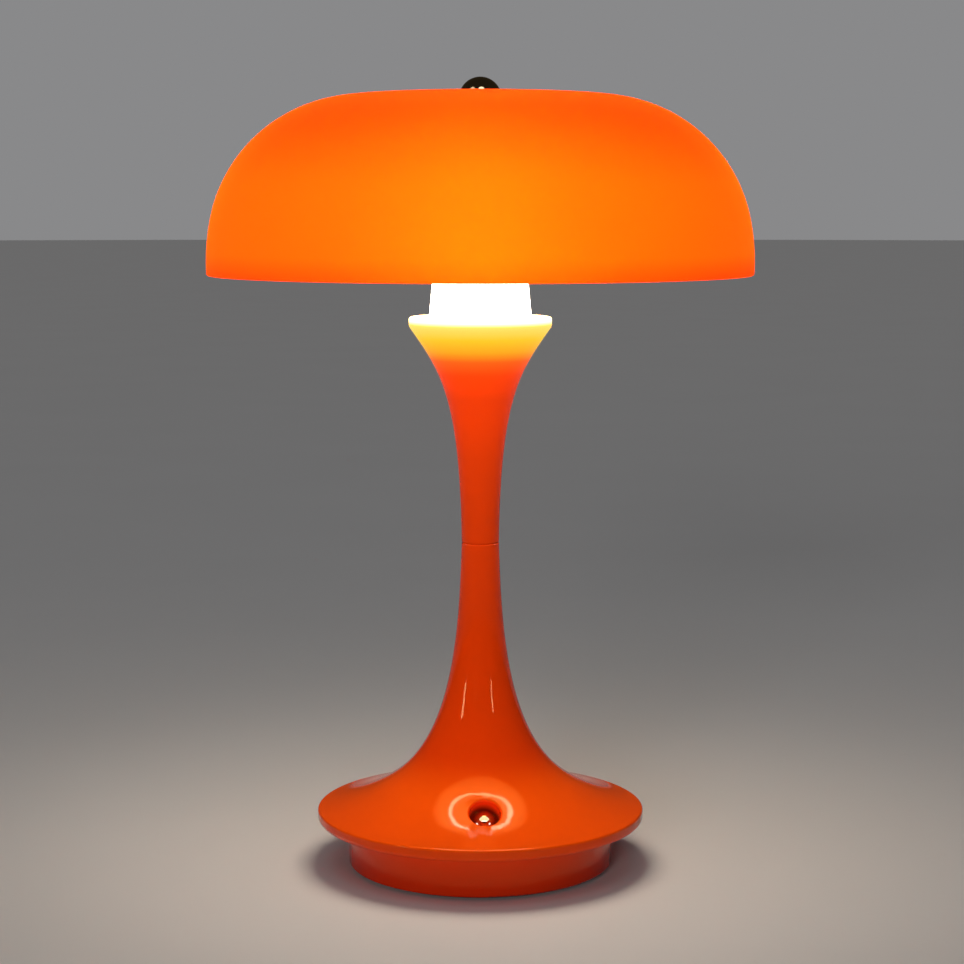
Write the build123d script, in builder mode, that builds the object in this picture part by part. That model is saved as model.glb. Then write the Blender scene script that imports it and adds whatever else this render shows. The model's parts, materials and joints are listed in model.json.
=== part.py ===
from build123d import *
import os
from math import atan2, cos, degrees, pi, radians, sin, tan

# Mushroom table lamp with a rechargeable battery in its foot.
# Millimetres, +Z up. The origin is the middle of the foot, on the table.
# The push button faces -Y and the charging socket +Y.

os.makedirs("parts", exist_ok=True)

# ---------- clearances ----------
thread_gap = 0.05    # round a screwed or pressed piece
running_gap = 0.1    # round a piece that slides or turns in its guide
seat_gap = 0.2       # round a piece that is dropped into its seat
hole_gap = 0.3       # round a screw or rod that passes through a plate

# ---------- foot: pad, bottom plate and drum ----------
pad_thickness = 1.0
pad_inset = 0.65         # pad's edge inside the drum's bore
plate_thickness = 2.0
drum_lift = 0.8          # lower edge of the drum above the table
drum_radius = 39.65
drum_wall = 2.0
drum_edge_round = 0.6
underside_height = 13.9  # underside of the brim above the table
underside_fillet = 1.0

# ---------- base cover: brim, flared foot and lower stem ----------
brim_radius = 49.0
brim_depth = 3.5
brim_slope = 10.0        # fall of the brim's top at its edge, degrees
brim_round = 0.7
brim_foot_round = 1.3    # lower edge of the brim
cover_wall = 2.0
knee_radius = 24.0       # where the flare passes into the brim
knee_height = 28.5
knee_lean = 49.5         # lean of the flank there, degrees from upright
seam_height = 97.8       # joint between the two halves of the stem
neck_radius = 5.6
neck_spread = 0.8        # how far the neck's control point stands out
neck_pull = 26.3         # control handles of the outline
knee_pull = 20.8
flare_pull = 7.0
brim_pull = 10.0
seam_chamfer = 0.25

# ---------- upper stem and collar ----------
collar_radius = 21.05
collar_height = 164.8
collar_wall = 1.65       # lip outside the diffuser
collar_straight = 1.8    # upright part of the lip
lip_round = 0.75
cup_inset = 0.3          # outline where the cup ends under the lip
cup_drop = 3.2           # cup's end below the top of the lip
cup_lean = 34.7          # lean there, degrees from upright
cup_pull = 15.4
stem_hold = 0.685        # share of its height that the trumpet's lower handle takes
stem_spread = 0.57
stem_wall = 2.0
hollow_spread = 1.25     # how far the hollow's control point stands out
seat_depth = 2.0         # diffuser's seat below the top of the lip
seat_width = 1.5

# ---------- threaded tube across the seam ----------
nipple_radius = 4.0
nipple_bore = 2.7
nipple_grip = 12.0       # in each half
socket_relief = 2.0      # bore beyond the tube's ends

# ---------- shade ----------
shade_radius = 80.0
shade_wall = 2.0
belly_height = 180.6
rim_drop = 3.5           # rim below the belly
flank_bend = 63.7
flank_turn = 11.5        # degrees
shoulder_bend = 44.8
shoulder_turn = 74.2     # degrees
crown_height = 229.6
crown_flat = 12.0        # radius of the flat seat in the crown
rim_round = 0.6

# ---------- rod, knob and washers ----------
rod_radius = 2.5
rod_bite = 4.5           # rod's thread below the carrier's ledge
rod_stand = 2.7          # rod above the crown
finial_bend = 6.25
finial_stand = 4.4       # dome above its own foot
finial_roof = 0.3        # free height over the rod in the knob's bore
washer_radius = 5.4
washer_thickness = 0.5
shade_washer_radius = 8.0
shade_washer_thickness = 0.8

# ---------- diffuser ----------
flange_depth = 1.5
cone_ledge = 4.1         # flange outside the cone
cone_draft = 5.3         # degrees
cone_wall = 1.5
cone_roof = 2.0
cone_fillet = 0.8

# ---------- LED board and its carrier ----------
ledge_drop = 13.3        # carrier's ledge below the top of the lip
ledge_width = 2.3
board_inset = 8.85       # board's edge inside the collar
carrier_thickness = 2.0
carrier_boss_radius = 4.0
carrier_boss_length = 5.0
led_board_thickness = 1.5
led_gap = 0.5            # between neighbours
led_clearance = 0.4      # between the ring and the screw heads
led_length = 2.8
led_width = 2.0
led_height = 0.7
led_screw_count = 3
led_screw_inset = 2.6    # screws from the board's edge
led_screw_radius = 1.0
led_screw_length = 7.0
led_screw_head_radius = 1.9
led_screw_head = 1.2
led_screw_angle = 30.0
led_boss_radius = 2.1
led_boss_length = 4.0

# ---------- button ----------
pocket_reach = 31.7      # distance of the pocket's mouth from the axis
pocket_rise = 33.0       # elevation of the pocket's axis, degrees
pocket_radius = 4.6
pocket_depth = 12.6
pocket_wall = 1.5
mouth_round = 0.6
ball_radius = 3.35
ball_depth = 8.5         # ball's centre below the mouth
button_travel = 0.5
stem_radius = 1.5        # button's own stem
stem_reach = 0.5         # button's stem below the pocket's floor

# ---------- switch behind the button ----------
plunger_radius = 1.0
plunger_stand = 0.8
plunger_root = 1.2
switch_side = 6.0
switch_depth = 3.1
switch_board_length = 19.0
switch_board_width = 7.5
switch_board_thickness = 1.2
switch_post_offset = 7.4
switch_post_radius = 1.8
switch_screw_radius = 0.85
switch_screw_length = 4.0
switch_screw_head_radius = 1.6
switch_screw_head = 1.0

# ---------- screws of the foot ----------
base_screw_count = 4
base_screw_inset = 4.15  # screws from the drum's bore
base_screw_radius = 1.4
base_screw_head_radius = 2.7
base_screw_head = 2.0
base_screw_bite = 4.2    # length in the cover's post
post_radius = 3.0
lug_radius = 3.3
lug_thickness = 2.5
plate_screw_count = 3
plate_screw_inset = 3.65
plate_screw_radius = 1.2
plate_screw_head_radius = 2.3
plate_screw_head = 1.4
plate_screw_length = 8.0
plate_boss_radius = 3.0
plate_boss_length = 8.0

# ---------- weight, battery and main board ----------
ballast_inset = 7.15     # weight's edge from the drum's bore
ballast_thickness = 5.0
ballast_cut = 15.0       # rear edge of the weight
tape_thickness = 0.5
tape_margin = 3.0
battery_length = 50.0
battery_width = 26.0
battery_thickness = 8.0
battery_round = 1.5
main_board_length = 26.0
main_board_front = 17.0
main_board_inset = 3.65  # rear edge from the drum's bore
main_board_thickness = 1.6
standoff_height = 1.17
standoff_radius = 2.2
standoff_offset = 10.0
standoff_inset = 3.0     # from the board's front edge
chip_side = 5.0
chip_height = 1.0
coil_side = 6.0
coil_height = 3.0
chip_offset = 8.0        # chip and coil to either side of the middle
board_screw_radius = 0.85
board_screw_bite = 2.2
board_screw_head_radius = 1.6
board_screw_head = 1.0

# ---------- charging socket ----------
port_width = 8.94
port_height = 3.26
port_length = 7.3
port_wall = 0.3
port_recess = 0.2        # socket's mouth behind the recess in the drum
tongue_width = 6.69
tongue_height = 0.7
tongue_short = 1.0       # tongue's end behind the mouth
recess_width = 12.0
recess_height = 6.2
recess_depth = 0.8

# ---------- lead to the LED board ----------
lead_radius = 1.1
lead_inset = 3.2         # lead's middle line inside the carrier's ledge
lead_wall_gap = 7.0      # lead's middle line inside the cover's wall
lead_lean_radius = 8.0   # a point of its way along the flare
lead_run_below = 26.0    # straight run below the threaded tube
lead_run_above = 9.0     # and above it
lead_run_end = 10.5      # straight run into the carrier

# ---------- heights that follow ----------
plate_top = pad_thickness + plate_thickness
flange_top = underside_height + brim_depth - cover_wall
brim_top = underside_height + brim_depth
drum_bore = drum_radius - drum_wall
pad_radius = drum_bore - pad_inset
base_screw_circle = drum_bore - base_screw_inset
plate_screw_circle = drum_bore - plate_screw_inset
ballast_radius = drum_bore - ballast_inset
main_board_rear = drum_bore - main_board_inset
skirt_bore = brim_radius - cover_wall
flange_radius = skirt_bore - seat_gap
socket_radius = nipple_radius + thread_gap
cup_radius = collar_radius - cup_inset
cup_height = collar_height - cup_drop
board_radius = collar_radius - board_inset
ledge_height = collar_height - ledge_drop
rod_start = ledge_height - rod_bite
seat_height = collar_height - seat_depth
lip_bore = collar_radius - collar_wall
carrier_top = ledge_height + carrier_thickness
led_board_top = carrier_top + led_board_thickness
cup_bore = board_radius + running_gap
ledge_bore = cup_bore - ledge_width
lead_offset = ledge_bore - lead_inset
led_screw_circle = board_radius - led_screw_inset
led_circle = led_screw_circle - led_screw_head_radius - led_clearance - led_width / 2
led_count = int(2 * pi * (led_circle - led_width / 2) / (led_length + led_gap))
cone_radius = lip_bore - seat_gap - cone_ledge
cup_floor = led_board_top + seat_gap
crown_inside = crown_height - shade_wall
diffuser_top = crown_inside - shade_washer_thickness
flange_face = seat_height + flange_depth
rod_end = crown_height + rod_stand
rod_hole = rod_radius + hole_gap
knob_foot = crown_height + washer_thickness


def save(piece, name):
    piece.part.label = name
    export_step(piece.part, f"parts/{name}.step")


def foot_curves(inset, top_radius, top_height):
    """Outline from the neck down to the brim's edge, set in by a wall's thickness."""
    lean = radians(knee_lean)
    slope = radians(brim_slope)
    down = Vector(sin(lean), -cos(lean))
    outward = Vector(cos(slope), -sin(slope))
    top = Vector(top_radius, top_height)
    knee = Vector(knee_radius - inset * cos(lean), knee_height - inset * sin(lean))
    edge = Vector(brim_radius - inset, brim_top + inset * (tan(slope) - 1 / cos(slope)))
    pull = neck_pull * (top_height - knee.Y) / (seam_height - knee_height)
    neck = Bezier(top, top + Vector(neck_spread, -pull), knee - down * knee_pull, knee)
    flare = Bezier(knee, knee + down * flare_pull, edge - outward * brim_pull, edge)
    return neck, flare


def point_at_radius(curve, radius):
    """Point of a 2D outline at a distance from the axis, found by halving."""
    low, high = 0.0, 1.0
    for _ in range(30):
        middle = (low + high) / 2
        if (curve @ middle).X < radius:
            low = middle
        else:
            high = middle
    return curve @ low


def wall_lug(circle_radius, lug):
    """Round lug with a web that reaches into the drum's wall."""
    web = drum_bore + drum_wall / 2 - circle_radius
    Circle(lug)
    Rectangle(web, 2 * lug, align=(Align.MIN, Align.CENTER))


# ---------- pocket axis: mouth on the flare, seen from outside ----------
with BuildLine():
    cover_neck, cover_flare = foot_curves(0, neck_radius, seam_height)
mouth_point = point_at_radius(cover_flare, pocket_reach)
pocket_axis = Vector(0, -cos(radians(pocket_rise)), sin(radians(pocket_rise)))
pocket_mouth = Vector(0, -mouth_point.X, mouth_point.Y)
mouth_plane = Plane(origin=pocket_mouth, x_dir=(1, 0, 0), z_dir=pocket_axis)
boss_depth = pocket_depth + pocket_wall
stem_end = boss_depth + stem_reach
switch_face = stem_end + plunger_stand
switch_board_face = switch_face + switch_depth
switch_board_back = switch_board_face + switch_board_thickness
switch_spots = [(-switch_post_offset, 0), (switch_post_offset, 0)]

# ---------- space inside the cover's wall, which trims posts and bosses ----------
with BuildPart() as cover_core:
    with BuildSketch(Plane.XZ):
        with BuildLine():
            core_neck, core_flare = foot_curves(
                cover_wall / 2, neck_radius - cover_wall / 2, seam_height
            )
            Polyline(
                core_flare @ 1,
                (brim_radius - cover_wall / 2, flange_top),
                (drum_bore - seat_gap, flange_top),
                (drum_bore - seat_gap, plate_top),
                (0, plate_top),
                (0, seam_height),
                core_neck @ 0,
            )
        make_face()
    revolve(axis=Axis.Z)

with BuildPart() as cover_posts:
    with BuildSketch(Plane.XY.offset(flange_top)):
        with PolarLocations(base_screw_circle, base_screw_count, start_angle=45):
            Circle(post_radius)
    extrude(amount=knee_height)
    with BuildSketch(mouth_plane.offset(pocket_depth)):
        Circle(pocket_radius + pocket_wall)
    extrude(amount=-pocket_depth - boss_depth)
    with BuildSketch(mouth_plane.offset(pocket_depth)):
        with Locations(*switch_spots):
            Circle(switch_post_radius)
    extrude(amount=-pocket_depth - switch_board_face)
    add(cover_core.part, mode=Mode.INTERSECT)

# ---------- base cover ----------
with BuildPart() as base_cover:
    with BuildSketch(Plane.XZ):
        with BuildLine():
            outer_neck, outer_flare = foot_curves(0, neck_radius, seam_height)
            inner_neck, inner_flare = foot_curves(
                cover_wall, socket_radius, seam_height - nipple_grip - socket_relief
            )
            Polyline(
                outer_flare @ 1,
                (brim_radius, underside_height),
                (skirt_bore, underside_height),
                inner_flare @ 1,
            )
            Polyline(inner_neck @ 0, (socket_radius, seam_height), outer_neck @ 0)
        make_face()
    revolve(axis=Axis.Z)
    brim_edges = base_cover.edges().filter_by(GeomType.CIRCLE)
    brim_edges = brim_edges.filter_by(lambda edge: abs(edge.radius - brim_radius) < 0.01)
    fillet(brim_edges.sort_by(Axis.Z)[-1], radius=brim_round)
    fillet(brim_edges.sort_by(Axis.Z)[0], radius=brim_foot_round)
    neck_edges = base_cover.edges().group_by(Axis.Z)[-1].sort_by(SortBy.RADIUS)
    chamfer(neck_edges[-1], length=seam_chamfer)
    add(cover_posts.part)
    with BuildSketch(Plane.XY.offset(flange_top)):
        with PolarLocations(base_screw_circle, base_screw_count, start_angle=45):
            Circle(base_screw_radius + thread_gap)
    extrude(amount=base_screw_bite + hole_gap, mode=Mode.SUBTRACT)
    with BuildSketch(mouth_plane.offset(-switch_board_face)):
        with Locations(*switch_spots):
            Circle(switch_screw_radius + thread_gap)
    extrude(amount=switch_screw_length, mode=Mode.SUBTRACT)
    with BuildSketch(mouth_plane.offset(-boss_depth)):
        Circle(stem_radius + running_gap)
    extrude(amount=pocket_wall, mode=Mode.SUBTRACT)
    with BuildSketch(mouth_plane.offset(pocket_depth)):
        Circle(pocket_radius)
    extrude(amount=-2 * pocket_depth, mode=Mode.SUBTRACT)
    mouth_edge = base_cover.edges(Select.LAST).sort_by(Axis.Z)[-1]
    fillet(mouth_edge, radius=mouth_round)
save(base_cover, "base_cover")

# ---------- button and switch ----------
with BuildPart() as button:
    with Locations(mouth_plane.offset(-ball_depth)):
        Sphere(ball_radius)
    with BuildSketch(mouth_plane.offset(-stem_end)):
        Circle(stem_radius)
    extrude(amount=stem_end - ball_depth)
save(button, "button")

with BuildPart() as switch_plunger:
    with BuildSketch(mouth_plane.offset(-stem_end)):
        Circle(plunger_radius)
    extrude(amount=-plunger_stand - plunger_root)
save(switch_plunger, "switch_plunger")

with BuildPart() as tact_switch:
    with BuildSketch(mouth_plane.offset(-switch_board_face)):
        Rectangle(switch_side, switch_side)
    extrude(amount=switch_depth)
    with BuildSketch(mouth_plane.offset(-switch_face)):
        Circle(plunger_radius + running_gap)
    extrude(amount=-plunger_root - button_travel - hole_gap, mode=Mode.SUBTRACT)
save(tact_switch, "tact_switch")

with BuildPart() as switch_board:
    with BuildSketch(mouth_plane.offset(-switch_board_back)):
        Rectangle(switch_board_length, switch_board_width)
        with Locations(*switch_spots):
            Circle(switch_screw_radius + hole_gap, mode=Mode.SUBTRACT)
    extrude(amount=switch_board_thickness)
save(switch_board, "switch_board")

with BuildPart() as switch_screws:
    with BuildSketch(mouth_plane.offset(-switch_board_back)):
        with Locations(*switch_spots):
            Circle(switch_screw_head_radius)
    extrude(amount=-switch_screw_head)
    with BuildSketch(mouth_plane.offset(-switch_board_back)):
        with Locations(*switch_spots):
            Circle(switch_screw_radius)
    extrude(amount=switch_screw_length)
save(switch_screws, "switch_screws")

# ---------- drum under the brim ----------
port_base = plate_top + standoff_height + main_board_thickness
port_centre = port_base + port_height / 2
port_plane = Plane(origin=(0, 0, port_centre), x_dir=(1, 0, 0), z_dir=(0, -1, 0))
recess_floor = drum_radius - recess_depth
port_face = recess_floor - port_recess

with BuildPart() as base_drum:
    with BuildSketch(Plane.XZ):
        with BuildLine():
            Polyline(
                (drum_bore, drum_lift),
                (drum_radius, drum_lift),
                (drum_radius, underside_height),
                (flange_radius, underside_height),
                (flange_radius, flange_top),
                (drum_bore, flange_top),
                close=True,
            )
        make_face()
    revolve(axis=Axis.Z)
    drum_edges = base_drum.edges().filter_by(GeomType.CIRCLE)
    drum_edges = drum_edges.filter_by(lambda edge: abs(edge.radius - drum_radius) < 0.01)
    fillet(drum_edges.sort_by(Axis.Z)[0], radius=drum_edge_round)
    fillet(drum_edges.sort_by(Axis.Z)[-1], radius=underside_fillet)
    with BuildSketch(Plane.XY.offset(flange_top)):
        with PolarLocations(base_screw_circle, base_screw_count, start_angle=45):
            wall_lug(base_screw_circle, lug_radius)
    extrude(amount=-lug_thickness)
    with BuildSketch(Plane.XY.offset(plate_top)):
        with PolarLocations(plate_screw_circle, plate_screw_count):
            wall_lug(plate_screw_circle, plate_boss_radius)
    extrude(amount=plate_boss_length)
    with BuildSketch(Plane.XY.offset(flange_top)):
        with PolarLocations(base_screw_circle, base_screw_count, start_angle=45):
            Circle(base_screw_radius + hole_gap)
    extrude(amount=-lug_thickness, mode=Mode.SUBTRACT)
    with BuildSketch(Plane.XY.offset(plate_top)):
        with PolarLocations(plate_screw_circle, plate_screw_count):
            Circle(plate_screw_radius + thread_gap)
    extrude(amount=plate_screw_length - plate_thickness + hole_gap, mode=Mode.SUBTRACT)
    with BuildSketch(port_plane.offset(-drum_radius)):
        SlotOverall(port_width + seat_gap, port_height + seat_gap)
    extrude(amount=2 * drum_wall, mode=Mode.SUBTRACT)
    with BuildSketch(port_plane.offset(-recess_floor)):
        SlotOverall(recess_width, recess_height)
    extrude(amount=-2 * recess_depth, mode=Mode.SUBTRACT)
save(base_drum, "base_drum")

with BuildPart() as base_screws:
    with BuildSketch(Plane.XY.offset(flange_top - lug_thickness)):
        with PolarLocations(base_screw_circle, base_screw_count, start_angle=45):
            Circle(base_screw_head_radius)
    extrude(amount=-base_screw_head)
    with BuildSketch(Plane.XY.offset(flange_top - lug_thickness)):
        with PolarLocations(base_screw_circle, base_screw_count, start_angle=45):
            Circle(base_screw_radius)
    extrude(amount=lug_thickness + base_screw_bite)
save(base_screws, "base_screws")

# ---------- bottom plate, its screws and the pad ----------
standoff_spots = [
    (-standoff_offset, main_board_front + standoff_inset),
    (standoff_offset, main_board_front + standoff_inset),
]

with BuildPart() as bottom_cover:
    with BuildSketch(Plane.XY.offset(pad_thickness)):
        Circle(drum_bore - seat_gap)
    extrude(amount=plate_thickness)
    with BuildSketch(Plane.XY.offset(plate_top)):
        with Locations(*standoff_spots):
            Circle(standoff_radius)
    extrude(amount=standoff_height)
    with BuildSketch(Plane.XY.offset(plate_top + standoff_height)):
        with Locations(*standoff_spots):
            Circle(board_screw_radius + thread_gap)
    extrude(amount=-board_screw_bite - thread_gap, mode=Mode.SUBTRACT)
    with Locations(Plane.XY.offset(pad_thickness)):
        with PolarLocations(plate_screw_circle, plate_screw_count):
            Cone(
                plate_screw_head_radius + hole_gap,
                plate_screw_radius + hole_gap,
                plate_screw_head,
                align=(Align.CENTER, Align.CENTER, Align.MIN),
                mode=Mode.SUBTRACT,
            )
            Cylinder(
                plate_screw_radius + hole_gap,
                plate_thickness,
                align=(Align.CENTER, Align.CENTER, Align.MIN),
                mode=Mode.SUBTRACT,
            )
save(bottom_cover, "bottom_cover")

with BuildPart() as bottom_screws:
    with Locations(Plane.XY.offset(pad_thickness)):
        with PolarLocations(plate_screw_circle, plate_screw_count):
            Cone(
                plate_screw_head_radius,
                plate_screw_radius,
                plate_screw_head,
                align=(Align.CENTER, Align.CENTER, Align.MIN),
            )
            Cylinder(
                plate_screw_radius,
                plate_screw_length,
                align=(Align.CENTER, Align.CENTER, Align.MIN),
            )
save(bottom_screws, "bottom_screws")

with BuildPart() as foot_pad:
    with BuildSketch():
        Circle(pad_radius)
    extrude(amount=pad_thickness)
save(foot_pad, "foot_pad")

# ---------- weight and battery ----------
battery_centre = ballast_cut - battery_width / 2
ballast_top = plate_top + ballast_thickness
battery_base = ballast_top + tape_thickness

with BuildPart() as ballast:
    with BuildSketch(Plane.XY.offset(plate_top)):
        Circle(ballast_radius)
        with Locations((0, ballast_cut)):
            Rectangle(
                2 * ballast_radius,
                ballast_radius,
                align=(Align.CENTER, Align.MIN),
                mode=Mode.SUBTRACT,
            )
    extrude(amount=ballast_thickness)
    with BuildSketch(mouth_plane.offset(-switch_board_back - switch_screw_head)):
        Rectangle(switch_board_length + 2 * seat_gap, switch_board_width + 2 * seat_gap)
    extrude(amount=switch_board_back, mode=Mode.SUBTRACT)
save(ballast, "ballast")

with BuildPart() as battery_tape:
    with BuildSketch(Plane.XY.offset(ballast_top)):
        with Locations((0, battery_centre)):
            Rectangle(battery_length - 2 * tape_margin, battery_width - 2 * tape_margin)
    extrude(amount=tape_thickness)
save(battery_tape, "battery_tape")

with BuildPart() as battery:
    with BuildSketch(Plane.XY.offset(battery_base)):
        with Locations((0, battery_centre)):
            Rectangle(battery_length, battery_width)
    extrude(amount=battery_thickness)
    fillet(battery.edges().filter_by(Axis.X), radius=battery_round)
save(battery, "battery")

# ---------- main board and charging socket ----------
board_base = plate_top + standoff_height
board_middle = (main_board_front + main_board_rear) / 2

with BuildPart() as main_board:
    with BuildSketch(Plane.XY.offset(board_base)):
        with Locations((0, board_middle)):
            Rectangle(main_board_length, main_board_rear - main_board_front)
        with Locations(*standoff_spots):
            Circle(board_screw_radius + hole_gap, mode=Mode.SUBTRACT)
    extrude(amount=main_board_thickness)
save(main_board, "main_board")

with BuildPart() as board_chips:
    with BuildSketch(Plane.XY.offset(port_base)):
        with Locations((-chip_offset, board_middle)):
            Rectangle(chip_side, chip_side)
    extrude(amount=chip_height)
    with BuildSketch(Plane.XY.offset(port_base)):
        with Locations((chip_offset, board_middle)):
            Rectangle(coil_side, coil_side)
    extrude(amount=coil_height)
save(board_chips, "board_chips")

with BuildPart() as board_screws:
    with BuildSketch(Plane.XY.offset(port_base)):
        with Locations(*standoff_spots):
            Circle(board_screw_head_radius)
    extrude(amount=board_screw_head)
    with BuildSketch(Plane.XY.offset(port_base)):
        with Locations(*standoff_spots):
            Circle(board_screw_radius)
    extrude(amount=-main_board_thickness - board_screw_bite)
save(board_screws, "board_screws")

with BuildPart() as usb_port:
    with BuildSketch(port_plane.offset(-port_face)):
        SlotOverall(port_width, port_height)
    extrude(amount=port_length)
    with BuildSketch(port_plane.offset(-port_face)):
        SlotOverall(port_width - 2 * port_wall, port_height - 2 * port_wall)
    extrude(amount=port_length - port_wall, mode=Mode.SUBTRACT)
save(usb_port, "usb_port")

with BuildPart() as usb_tongue:
    with BuildSketch(port_plane.offset(-port_face + tongue_short)):
        Rectangle(tongue_width, tongue_height)
    extrude(amount=port_length - port_wall - tongue_short)
save(usb_tongue, "usb_tongue")

# ---------- threaded tube between the halves of the stem ----------
with BuildPart() as stem_nipple:
    with BuildSketch(Plane.XY.offset(seam_height - nipple_grip)):
        Circle(nipple_radius)
        Circle(nipple_bore, mode=Mode.SUBTRACT)
    extrude(amount=2 * nipple_grip)
save(stem_nipple, "stem_nipple")

# ---------- upper stem: trumpet, cup and collar ----------
cup_direction = Vector(sin(radians(cup_lean)), cos(radians(cup_lean)))
cup_end = Vector(cup_radius, cup_height)
stem_socket_end = seam_height + nipple_grip + socket_relief

with BuildPart() as upper_stem:
    with BuildSketch(Plane.XZ):
        with BuildLine():
            trumpet = Bezier(
                (neck_radius, seam_height),
                (neck_radius + stem_spread, seam_height + stem_hold * (cup_height - seam_height)),
                cup_end - cup_direction * cup_pull,
                cup_end,
            )
            collar = TangentArc(
                trumpet @ 1,
                (collar_radius, collar_height - collar_straight),
                tangent=trumpet % 1,
            )
            Polyline(
                collar @ 1,
                (collar_radius, collar_height),
                (lip_bore, collar_height),
                (lip_bore, seat_height),
                (lip_bore - seat_width, seat_height),
                (cup_bore + stem_wall, cup_floor),
                (cup_bore, cup_floor),
                (cup_bore, ledge_height),
                (ledge_bore, ledge_height),
            )
            hollow = Bezier(
                (ledge_bore, ledge_height),
                (ledge_bore, ledge_height - carrier_boss_length),
                (socket_radius + hollow_spread, ledge_height - cup_pull),
                (socket_radius, stem_socket_end),
            )
            Polyline(hollow @ 1, (socket_radius, seam_height), trumpet @ 0)
        make_face()
    revolve(axis=Axis.Z)
    foot_edges = upper_stem.edges().group_by(Axis.Z)[0].sort_by(SortBy.RADIUS)
    chamfer(foot_edges[-1], length=seam_chamfer)
    fillet(upper_stem.edges().group_by(Axis.Z)[-1], radius=lip_round)
    with BuildSketch(Plane.XY.offset(ledge_height)):
        with PolarLocations(led_screw_circle, led_screw_count, start_angle=led_screw_angle):
            Circle(led_boss_radius)
    extrude(amount=-led_boss_length)
    with BuildSketch(Plane.XY.offset(ledge_height)):
        with PolarLocations(led_screw_circle, led_screw_count, start_angle=led_screw_angle):
            Circle(led_screw_radius + thread_gap)
    extrude(
        amount=-led_screw_length + carrier_thickness + led_board_thickness - thread_gap,
        mode=Mode.SUBTRACT,
    )
save(upper_stem, "upper_stem")

# ---------- LED board, LEDs, carrier and their screws ----------
with BuildPart() as led_carrier:
    with BuildSketch(Plane.XY.offset(ledge_height)):
        Circle(board_radius)
    extrude(amount=carrier_thickness)
    with BuildSketch(Plane.XY.offset(ledge_height - carrier_boss_length)):
        Circle(carrier_boss_radius)
    extrude(amount=carrier_boss_length)
    with BuildSketch(Plane.XY.offset(carrier_top)):
        Circle(rod_radius + thread_gap)
        with Locations((0, lead_offset)):
            Circle(lead_radius + hole_gap)
        with PolarLocations(led_screw_circle, led_screw_count, start_angle=led_screw_angle):
            Circle(led_screw_radius + thread_gap)
    extrude(amount=-carrier_thickness - carrier_boss_length, mode=Mode.SUBTRACT)
save(led_carrier, "led_carrier")

with BuildPart() as led_board:
    with BuildSketch(Plane.XY.offset(carrier_top)):
        Circle(board_radius)
        Circle(rod_hole, mode=Mode.SUBTRACT)
        with PolarLocations(led_screw_circle, led_screw_count, start_angle=led_screw_angle):
            Circle(led_screw_radius + thread_gap, mode=Mode.SUBTRACT)
    extrude(amount=led_board_thickness)
save(led_board, "led_board")

with BuildPart() as leds:
    with BuildSketch(Plane.XY.offset(led_board_top)):
        with PolarLocations(led_circle, led_count):
            Rectangle(led_width, led_length)
    extrude(amount=led_height)
save(leds, "leds")

with BuildPart() as led_screws:
    with BuildSketch(Plane.XY.offset(led_board_top)):
        with PolarLocations(led_screw_circle, led_screw_count, start_angle=led_screw_angle):
            Circle(led_screw_head_radius)
    extrude(amount=led_screw_head)
    with BuildSketch(Plane.XY.offset(led_board_top)):
        with PolarLocations(led_screw_circle, led_screw_count, start_angle=led_screw_angle):
            Circle(led_screw_radius)
    extrude(amount=-led_screw_length)
save(led_screws, "led_screws")

# ---------- diffuser ----------
cone_top_radius = cone_radius - (diffuser_top - flange_face) * tan(radians(cone_draft))

with BuildPart() as diffuser:
    with BuildSketch(Plane.XZ):
        with BuildLine():
            Polyline(
                (cone_radius - cone_wall, seat_height),
                (lip_bore - seat_gap, seat_height),
                (lip_bore - seat_gap, flange_face),
                (cone_radius, flange_face),
                (cone_top_radius, diffuser_top),
                (rod_hole, diffuser_top),
                (rod_hole, diffuser_top - cone_roof),
                (cone_top_radius - cone_wall, diffuser_top - cone_roof),
                close=True,
            )
        make_face()
    revolve(axis=Axis.Z)
    cone_edges = diffuser.edges().filter_by(GeomType.CIRCLE)
    cone_foot = cone_edges.filter_by(lambda edge: abs(edge.radius - cone_radius) < 0.01)
    fillet(cone_foot, radius=cone_fillet)
save(diffuser, "diffuser")

# ---------- shade ----------
with BuildPart() as shade:
    with BuildSketch(Plane.XZ):
        with BuildLine():
            rim_turn = degrees(atan2(rim_drop, flank_bend))
            belly = (shade_radius, belly_height)
            JernArc(start=belly, tangent=(0, -1), radius=flank_bend, arc_size=-rim_turn)
            flank = JernArc(start=belly, tangent=(0, 1), radius=flank_bend, arc_size=flank_turn)
            shoulder = JernArc(
                start=flank @ 1, tangent=flank % 1, radius=shoulder_bend, arc_size=shoulder_turn
            )
            crown = TangentArc(shoulder @ 1, (crown_flat, crown_height), tangent=shoulder % 1)
            Line(crown @ 1, (rod_hole, crown_height))
            offset(amount=shade_wall, side=Side.RIGHT)
        make_face()
    revolve(axis=Axis.Z)
    fillet(shade.edges().group_by(Axis.Z)[0], radius=rim_round)
save(shade, "shade")

# ---------- rod, washers and knob ----------
with BuildPart() as shade_rod:
    with BuildSketch(Plane.XY.offset(rod_start)):
        Circle(rod_radius)
    extrude(amount=rod_end - rod_start)
save(shade_rod, "shade_rod")

with BuildPart() as shade_washer:
    with BuildSketch(Plane.XY.offset(diffuser_top)):
        Circle(shade_washer_radius)
        Circle(rod_hole, mode=Mode.SUBTRACT)
    extrude(amount=shade_washer_thickness)
save(shade_washer, "shade_washer")

with BuildPart() as finial_washer:
    with BuildSketch(Plane.XY.offset(crown_height)):
        Circle(washer_radius)
        Circle(rod_hole, mode=Mode.SUBTRACT)
    extrude(amount=washer_thickness)
save(finial_washer, "finial_washer")

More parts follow.
